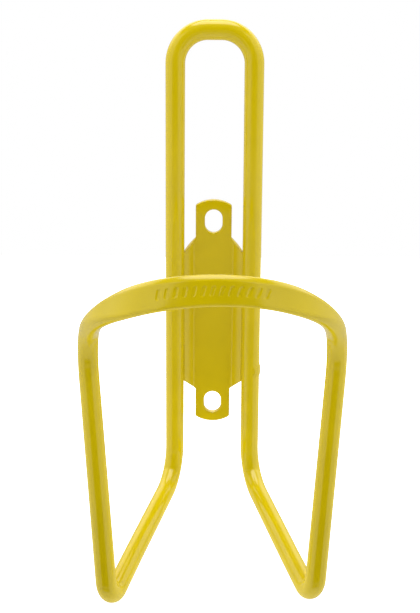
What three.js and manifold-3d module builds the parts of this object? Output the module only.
// A bicycle bottle cage: one thin-walled aluminium tube, bent into a loop that is closed by a butt weld,
// with a pressed backing plate welded between its two uprights. The front of the loop is pressed flat.
// Millimetres. +X is to the right of someone facing the cage, +Y towards the bicycle's frame, +Z up.
// The origin is on the plate's back face, midway between its two bolt slots.
import * as THREE from "three";
import { mergeVertices } from "three/addons/utils/BufferGeometryUtils.js";
import Module from "manifold-3d";

// ---- driving dimensions ----
const TUBE_DIAMETER = 6.2;
const TUBE_WALL = 1.1;
const TUBE_SIDES = 16;

const SLOT_SPACING = 64; // the standard distance between a frame's two bottle bosses
const SLOT_WIDTH = 5.8;
const SLOT_LENGTH = 7.8;

const PLATE_THICKNESS = 2.5;
const TAB_HALF_WIDTH = 5.95;
const TAB_END = 39.1; // height of the rounded ends above and below the middle
const TAB_END_RADIUS = 10.7;
const WING_ROOT_HEIGHT = 26.4; // where the wings meet the tabs
const WING_DROP = 4.1; // the wings' ends slope by this much over WING_RUN
const WING_RUN = 3.4;
const WING_ANGLE = THREE.MathUtils.degToRad(40);
const WING_BEND_RADIUS = 1.2; // inside of the fold

const ROD_DEPTH = 5.1; // the uprights' centre line lies this far in front of the plate's back face
const LOOP_TOP = 92.6; // centre line of the tube at the top of the loop
const LOOP_HALF_WIDTH = 12.37;
const LOOP_BEND_RADIUS = 10.2;
const UPRIGHT_FOOT_X = 13.15; // the uprights splay a little towards the bottom
const LOWER_BEND_HEIGHT = -58;
const LOWER_BEND_RADIUS = 14;
const FOOT_CORNER = new THREE.Vector3(30.9, -64.1, -72.5);
const FOOT_BEND_RADIUS = 4.6;
const SHOULDER_BEND_RADIUS = 15.2;

const HOOP_CENTER = new THREE.Vector3(0, -41.9, 4.3);
const HOOP_RADIUS = 36.7;
const HOOP_SLOPE = THREE.MathUtils.degToRad(37.8);
const HOOP_START_ANGLE = 0.219; // radians from the hoop's widest point to the end of the shoulder bend
const BAND_WIDTH = 8.2;
const BAND_THICKNESS = 2.84;
const BAND_TILT = 0.375; // radians that the pressed face leans back from the vertical
const PRESSING_RUN = 26.7; // length over which the round tube becomes the flat band
const BOTTLE_AXIS_Y = -44;

const CLOSING_WELD_HEIGHT = -18.7;
const CLOSING_WELD_LENGTH = 5;
const CLOSING_WELD_SWELL = 0.4; // on the outer side only
const STITCH_LENGTH = 14;
const STITCH_HEIGHT = 12; // middle of each stitch weld, above or below the plate's middle
const STITCH_LEG = 1.7; // how far a stitch weld lies along the wing
const STITCH_SWEEP = THREE.MathUtils.degToRad(42); // how far it wraps round the rod
const FIT_GAP = 0.3; // between the plate, the rods and the stitch welds

const PAINT = 0xc8b01c;
const WELD_PAINT = 0xc2a91a;

// ---- solids ----
const wasm = await Module();
wasm.setup();

// The solid of a closed geometry, or of its mirror image in X when `side` is -1.
function toSolid(geometry, side = 1) {
  const bare = geometry.clone().scale(side, 1, 1);
  bare.deleteAttribute("normal");
  bare.deleteAttribute("uv");
  const merged = mergeVertices(bare);
  const corners = Uint32Array.from(merged.index.array);
  return new wasm.Manifold(new wasm.Mesh({
    numProp: 3,
    vertProperties: new Float32Array(merged.attributes.position.array),
    triVerts: side > 0 ? corners : corners.reverse(),
  }));
}

function toGeometry(solid) {
  const mesh = solid.getMesh();
  const geometry = new THREE.BufferGeometry();
  geometry.setAttribute("position", new THREE.BufferAttribute(mesh.vertProperties, 3));
  geometry.setIndex(new THREE.BufferAttribute(mesh.triVerts, 1));
  geometry.computeVertexNormals();
  return geometry;
}

const cage = new THREE.Group();

function addPiece(name, geometry, color = PAINT) {
  const material = new THREE.MeshStandardMaterial({ color, roughness: 0.28, metalness: 0 });
  const mesh = new THREE.Mesh(geometry, material);
  mesh.name = name;
  cage.add(mesh);
}

// ---- the tube ----
// A station is one ring of the tube: its centre, its direction, how far it is pressed flat (0 to 1)
// and how far a weld swells its outer side.
function station(center, direction, pressed = 0, swell = 0) {
  return { center: center.clone(), direction: direction.clone().normalize(), pressed, swell };
}

// Stations round a corner of the given radius, from the line that comes in to the line that leaves.
function bend(before, corner, after, radius, steps) {
  const incoming = corner.clone().sub(before).normalize();
  const outgoing = after.clone().sub(corner).normalize();
  const turn = incoming.angleTo(outgoing);
  const start = corner.clone().addScaledVector(incoming, -radius * Math.tan(turn / 2));
  const inward = outgoing.clone().addScaledVector(incoming, -incoming.dot(outgoing)).normalize();
  const center = start.clone().addScaledVector(inward, radius);
  return Array.from({ length: steps + 1 }, (_, i) => {
    const angle = (turn * i) / steps;
    const direction = incoming.clone().multiplyScalar(Math.cos(angle))
      .addScaledVector(inward, Math.sin(angle));
    const spoke = inward.clone().multiplyScalar(-Math.cos(angle))
      .addScaledVector(incoming, Math.sin(angle));
    return station(center.clone().addScaledVector(spoke, radius), direction);
  });
}

function mirrored(stations) {
  const flip = new THREE.Vector3(-1, 1, 1);
  return stations.map((s) => station(s.center.clone().multiply(flip), s.direction.clone().multiply(flip),
    s.pressed, s.swell));
}

function reversed(stations) {
  return stations.map((s) => station(s.center, s.direction.clone().negate(), s.pressed, s.swell)).reverse();
}

// The outline of one ring, `inset` below the tube's outer surface. A pressed ring is a flat with two
// half-round edges, and its thickness points away from the bottle.
function ringPoints(s, inset) {
  const away = new THREE.Vector3(s.center.x, s.center.y - BOTTLE_AXIS_Y, 0).normalize();
  const thin = away.multiplyScalar(Math.cos(BAND_TILT)).add(new THREE.Vector3(0, 0, Math.sin(BAND_TILT)));
  thin.addScaledVector(s.direction, -thin.dot(s.direction)).normalize();
  const wide = new THREE.Vector3().crossVectors(s.direction, thin);
  const round = TUBE_DIAMETER / 2;
  const swell = inset === 0 ? s.swell / 2 : 0;
  const halfThick = THREE.MathUtils.lerp(round, BAND_THICKNESS / 2, s.pressed) - inset + swell;
  const halfWide = THREE.MathUtils.lerp(round, BAND_WIDTH / 2, s.pressed) - inset + swell;
  const center = s.center.clone().add(new THREE.Vector3(Math.sign(s.center.x) * swell, 0, 0));
  return Array.from({ length: TUBE_SIDES }, (_, i) => {
    const angle = (2 * Math.PI * i) / TUBE_SIDES;
    const flat = Math.sign(Math.sin(angle)) * Math.min(1, 3 * Math.abs(Math.sin(angle)));
    return center.clone()
      .addScaledVector(thin, halfThick * Math.cos(angle))
      .addScaledVector(wide, halfThick * Math.sin(angle) + (halfWide - halfThick) * flat);
  });
}

// A stretch of the tube through its stations: an outer skin, a bore, and a ring of wall at each end.
function tubeStretch(stations) {
  const rings = [];
  for (const inset of [0, TUBE_WALL]) {
    for (const s of stations) rings.push(ringPoints(s, inset));
  }
  const count = stations.length;
  const vertex = (ring, side) => ring * TUBE_SIDES + (side % TUBE_SIDES);
  const index = [];
  const quad = (a, b, c, d) => index.push(a, b, c, a, c, d);
  for (let side = 0; side < TUBE_SIDES; side += 1) {
    for (let i = 0; i + 1 < count; i += 1) {
      const bore = i + count;
      quad(vertex(i, side), vertex(i, side + 1), vertex(i + 1, side + 1), vertex(i + 1, side));
      quad(vertex(bore, side), vertex(bore + 1, side), vertex(bore + 1, side + 1), vertex(bore, side + 1));
    }
    const last = count - 1;
    const boreLast = last + count;
    quad(vertex(0, side), vertex(count, side), vertex(count, side + 1), vertex(0, side + 1));
    quad(vertex(last, side), vertex(last, side + 1), vertex(boreLast, side + 1), vertex(boreLast, side));
  }
  const geometry = new THREE.BufferGeometry();
  geometry.setAttribute("position", new THREE.Float32BufferAttribute(
    rings.flat().flatMap((p) => p.toArray()), 3));
  geometry.setIndex(index);
  geometry.computeVertexNormals();
  return geometry;
}

const loopTop = new THREE.Vector3(0, -ROD_DEPTH, LOOP_TOP);
const loopCorner = new THREE.Vector3(LOOP_HALF_WIDTH, -ROD_DEPTH, LOOP_TOP);
const uprightTop = new THREE.Vector3(LOOP_HALF_WIDTH, -ROD_DEPTH, LOOP_TOP - LOOP_BEND_RADIUS);
const lowerCorner = new THREE.Vector3(UPRIGHT_FOOT_X, -ROD_DEPTH, LOWER_BEND_HEIGHT);

// The hoop is a circle's arc on the slope, and a ring of it is named by its angle from the widest point.
function hoopStation(angle) {
  const forward = new THREE.Vector3(0, -Math.cos(HOOP_SLOPE), Math.sin(HOOP_SLOPE));
  const sideways = new THREE.Vector3(1, 0, 0);
  const center = HOOP_CENTER.clone().addScaledVector(sideways, HOOP_RADIUS * Math.cos(angle))
    .addScaledVector(forward, HOOP_RADIUS * Math.sin(angle));
  const direction = forward.multiplyScalar(Math.cos(angle)).addScaledVector(sideways, -Math.sin(angle));
  const run = (angle - HOOP_START_ANGLE) * HOOP_RADIUS;
  return station(center, direction, THREE.MathUtils.smoothstep(run, 0, PRESSING_RUN));
}

// The shoulder's corner lies behind the hoop's start by the length of the bend's tangent.
function shoulderCorner(hoopStart) {
  const corner = hoopStart.center.clone();
  for (let pass = 0; pass < 12; pass += 1) {
    const turn = corner.clone().sub(FOOT_CORNER).angleTo(hoopStart.direction);
    corner.copy(hoopStart.center)
      .addScaledVector(hoopStart.direction, -SHOULDER_BEND_RADIUS * Math.tan(turn / 2));
  }
  return corner;
}

function uprightAt(height) {
  const share = (uprightTop.z - height) / (uprightTop.z - lowerCorner.z);
  return uprightTop.clone().lerp(lowerCorner, share);
}

const pressedAngle = HOOP_START_ANGLE + PRESSING_RUN / HOOP_RADIUS;
const transition = Array.from({ length: 7 }, (_, i) => hoopStation(
  THREE.MathUtils.lerp(HOOP_START_ANGLE, pressedAngle, i / 6)));
const halfBand = Array.from({ length: 7 }, (_, i) => hoopStation(
  THREE.MathUtils.lerp(pressedAngle, Math.PI / 2, i / 6)));
const hoopStart = transition[0];
const shoulder = shoulderCorner(hoopStart);
const down = lowerCorner.clone().sub(uprightTop).normalize();
const halfLoop = bend(loopTop, loopCorner, uprightTop, LOOP_BEND_RADIUS, 7);
const lowerBend = bend(uprightTop, lowerCorner, FOOT_CORNER, LOWER_BEND_RADIUS, 6);
const footBend = bend(lowerCorner, FOOT_CORNER, shoulder, FOOT_BEND_RADIUS, 8);
const shoulderBend = bend(FOOT_CORNER, shoulder, hoopStart.center, SHOULDER_BEND_RADIUS, 5);

addPiece("top_loop", tubeStretch([...reversed(mirrored(halfLoop)), ...halfLoop]));

const upperEnd = halfLoop.at(-1);
const lowerEnd = lowerBend[0];
const weldTop = station(uprightAt(CLOSING_WELD_HEIGHT + CLOSING_WELD_LENGTH / 2), down);
const weldMiddle = station(uprightAt(CLOSING_WELD_HEIGHT), down, 0, CLOSING_WELD_SWELL);
const weldBottom = station(uprightAt(CLOSING_WELD_HEIGHT - CLOSING_WELD_LENGTH / 2), down);
addPiece("left_upright", tubeStretch(mirrored([upperEnd, lowerEnd])));
addPiece("right_upright_above_weld", tubeStretch([upperEnd, weldTop]));
addPiece("tube_closing_weld", tubeStretch([weldTop, weldMiddle, weldBottom]), WELD_PAINT);
addPiece("right_upright_below_weld", tubeStretch([weldBottom, lowerEnd]));

const pairedStretches = {
  lower_bend: lowerBend,
  bottom_rod: [lowerBend.at(-1), footBend[0]],
  foot_bend: footBend,
  side_rod: [footBend.at(-1), shoulderBend[0]],
  shoulder_bend: shoulderBend,
  band_transition: transition,
};
for (const [name, stations] of Object.entries(pairedStretches)) {
  addPiece(`right_${name}`, tubeStretch(stations));
  addPiece(`left_${name}`, tubeStretch(mirrored(stations)));
}
addPiece("front_band", tubeStretch([...halfBand, ...reversed(mirrored(halfBand)).slice(1)]));

// ---- the backing plate ----
const rodCenter = new THREE.Vector2(uprightAt(0).x, -ROD_DEPTH);
const copeRadius = TUBE_DIAMETER / 2 + FIT_GAP;
const foldX = TAB_HALF_WIDTH;
const wingAlong = new THREE.Vector2(Math.cos(WING_ANGLE), -Math.sin(WING_ANGLE));
const wingNormal = new THREE.Vector2(Math.sin(WING_ANGLE), Math.cos(WING_ANGLE));
const foldOuterRadius = WING_BEND_RADIUS + PLATE_THICKNESS;
const foldCenter = new THREE.Vector2(foldX, -foldOuterRadius);

// Where a line at `offset` from the fold's centre, along the wing, meets the cope round the rod.
function wingEnd(offset) {
  const start = foldCenter.clone().addScaledVector(wingNormal, offset);
  const toRod = rodCenter.clone().sub(start);
  const ahead = toRod.dot(wingAlong);
  const aside = toRod.cross(wingAlong);
  return start.addScaledVector(wingAlong, ahead - Math.sqrt(copeRadius ** 2 - aside ** 2));
}

// One side of the folded section: the fold's arc, then the wing out to the rod, seen from above.
function plateSection() {
  const section = new THREE.Shape();
  const frontEnd = wingEnd(WING_BEND_RADIUS);
  const backEnd = wingEnd(foldOuterRadius);
  const angleAt = (p) => Math.atan2(p.y - rodCenter.y, p.x - rodCenter.x);
  section.moveTo(0, -PLATE_THICKNESS);
  section.absarc(foldCenter.x, foldCenter.y, WING_BEND_RADIUS, Math.PI / 2, Math.PI / 2 - WING_ANGLE, true);
  section.lineTo(frontEnd.x, frontEnd.y);
  section.absarc(rodCenter.x, rodCenter.y, copeRadius, angleAt(frontEnd), angleAt(backEnd), true);
  section.absarc(foldCenter.x, foldCenter.y, foldOuterRadius, Math.PI / 2 - WING_ANGLE, Math.PI / 2, false);
  section.lineTo(0, 0);
  section.closePath();
  return section;
}

// Turns an extrusion of an outline in X and Z, grown along +Z, into a slab from `front` to `back` in Y.
function slab(outline, front, back, curveSegments) {
  const depth = back - front;
  const geometry = new THREE.ExtrudeGeometry(outline, { depth, bevelEnabled: false, curveSegments });
  return geometry.rotateX(Math.PI / 2).translate(0, back, 0);
}

function tabOutline() {
  const side = TAB_END - TAB_END_RADIUS + Math.sqrt(TAB_END_RADIUS ** 2 - TAB_HALF_WIDTH ** 2);
  const spread = Math.asin(TAB_HALF_WIDTH / TAB_END_RADIUS);
  const top = Math.PI / 2;
  const outline = new THREE.Shape();
  outline.moveTo(TAB_HALF_WIDTH, -side);
  outline.lineTo(TAB_HALF_WIDTH, side);
  outline.absarc(0, TAB_END - TAB_END_RADIUS, TAB_END_RADIUS, top - spread, top + spread, false);
  outline.lineTo(-TAB_HALF_WIDTH, -side);
  outline.absarc(0, TAB_END_RADIUS - TAB_END, TAB_END_RADIUS, -top - spread, -top + spread, false);
  return outline;
}

function slotOutline(height) {
  const radius = SLOT_WIDTH / 2;
  const straight = (SLOT_LENGTH - SLOT_WIDTH) / 2;
  const outline = new THREE.Shape();
  outline.absarc(0, height + straight, radius, 0, Math.PI, false);
  outline.absarc(0, height - straight, radius, Math.PI, 2 * Math.PI, false);
  return outline;
}

// A block that cuts the sloping end of the right wing. `end` is 1 for the wing's upper end and -1 for its
// lower end.
function wingCutter(end) {
  const size = 20; // larger than the corner that it removes
  const block = new THREE.BoxGeometry(size, size, size);
  block.translate(0, 0, (end * size) / 2);
  block.rotateY(end * Math.atan2(WING_DROP, WING_RUN));
  return block.translate(foldX, 0, end * WING_ROOT_HEIGHT);
}

function buildPlate() {
  const wingGeometry = new THREE.ExtrudeGeometry(plateSection(),
    { depth: 2 * WING_ROOT_HEIGHT, bevelEnabled: false, curveSegments: 6 });
  wingGeometry.translate(0, 0, -WING_ROOT_HEIGHT);
  let plate = toSolid(slab(tabOutline(), -PLATE_THICKNESS, 0, 8));
  for (const side of [-1, 1]) {
    const upperCutter = toSolid(wingCutter(1), side);
    const lowerCutter = toSolid(wingCutter(-1), side);
    plate = plate.add(toSolid(wingGeometry, side).subtract(upperCutter).subtract(lowerCutter));
  }
  for (const end of [-1, 1]) {
    const slot = slab(slotOutline((end * SLOT_SPACING) / 2), -2 * PLATE_THICKNESS, PLATE_THICKNESS, 8);
    plate = plate.subtract(toSolid(slot));
  }
  return plate;
}
addPiece("backing_plate", toGeometry(buildPlate()));

// ---- stitch welds, in the groove behind each wing's edge ----
function stitchSection() {
  const lineOffset = foldOuterRadius + FIT_GAP;
  const corner = wingEnd(lineOffset);
  const toe = corner.clone().addScaledVector(wingAlong, -STITCH_LEG);
  const cornerAngle = Math.atan2(corner.y - rodCenter.y, corner.x - rodCenter.x);
  const crownAngle = cornerAngle - STITCH_SWEEP;
  const crown = rodCenter.clone().add(new THREE.Vector2(Math.cos(crownAngle), Math.sin(crownAngle))
    .multiplyScalar(copeRadius));
  const bulge = toe.clone().lerp(crown, 0.5).addScaledVector(wingNormal, 0.4);
  const section = new THREE.Shape();
  section.moveTo(toe.x, toe.y);
  section.lineTo(corner.x, corner.y);
  section.absarc(rodCenter.x, rodCenter.y, copeRadius, cornerAngle, crownAngle, true);
  section.quadraticCurveTo(bulge.x, bulge.y, toe.x, toe.y);
  return section;
}

for (const [sideName, side] of [["left", -1], ["right", 1]]) {
  for (const [levelName, level] of [["upper", 1], ["lower", -1]]) {
    const bead = new THREE.ExtrudeGeometry(stitchSection(),
      { depth: STITCH_LENGTH, bevelEnabled: false, curveSegments: 5 });
    bead.translate(0, 0, level * STITCH_HEIGHT - STITCH_LENGTH / 2);
    addPiece(`${levelName}_${sideName}_stitch_weld`, toGeometry(toSolid(bead, side)), WELD_PAINT);
  }
}

export default cage;
